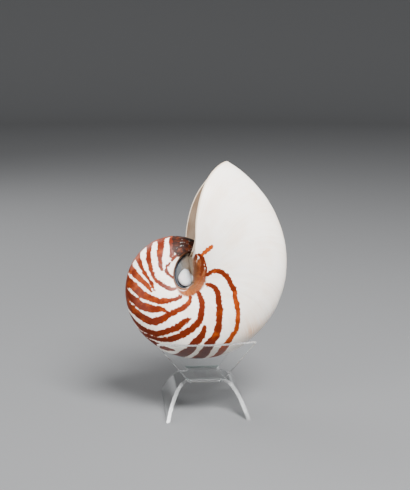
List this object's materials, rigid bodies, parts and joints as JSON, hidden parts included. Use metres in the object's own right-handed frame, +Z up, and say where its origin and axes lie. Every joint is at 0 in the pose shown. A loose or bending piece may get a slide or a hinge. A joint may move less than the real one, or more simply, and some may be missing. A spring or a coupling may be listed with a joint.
{
  "type": "nautilus shell on a clear acrylic stand",
  "caption": "Whole coiled nautilus shell with its open living chamber, leaning back in a cradle bent from one sheet of clear acrylic.",
  "frame": {"origin": "on the surface it stands on, below the middle of the whole object's box", "axes": "+Z up; front, the side with the coil on the left and the opening facing left, looks along -Y; +X to the right"},
  "size_m": [0.1392, 0.1114, 0.2072],
  "materials": {
    "shell": "satin pearl white with ragged orange-brown stripes over the older half of the coil, pearly inside",
    "acrylic": "clear polished sheet with bright cut edges"
  },
  "bodies": {
    "root": {"nautilus_shell": "shell", "acrylic_stand": "acrylic"}
  },
  "joints": []
}
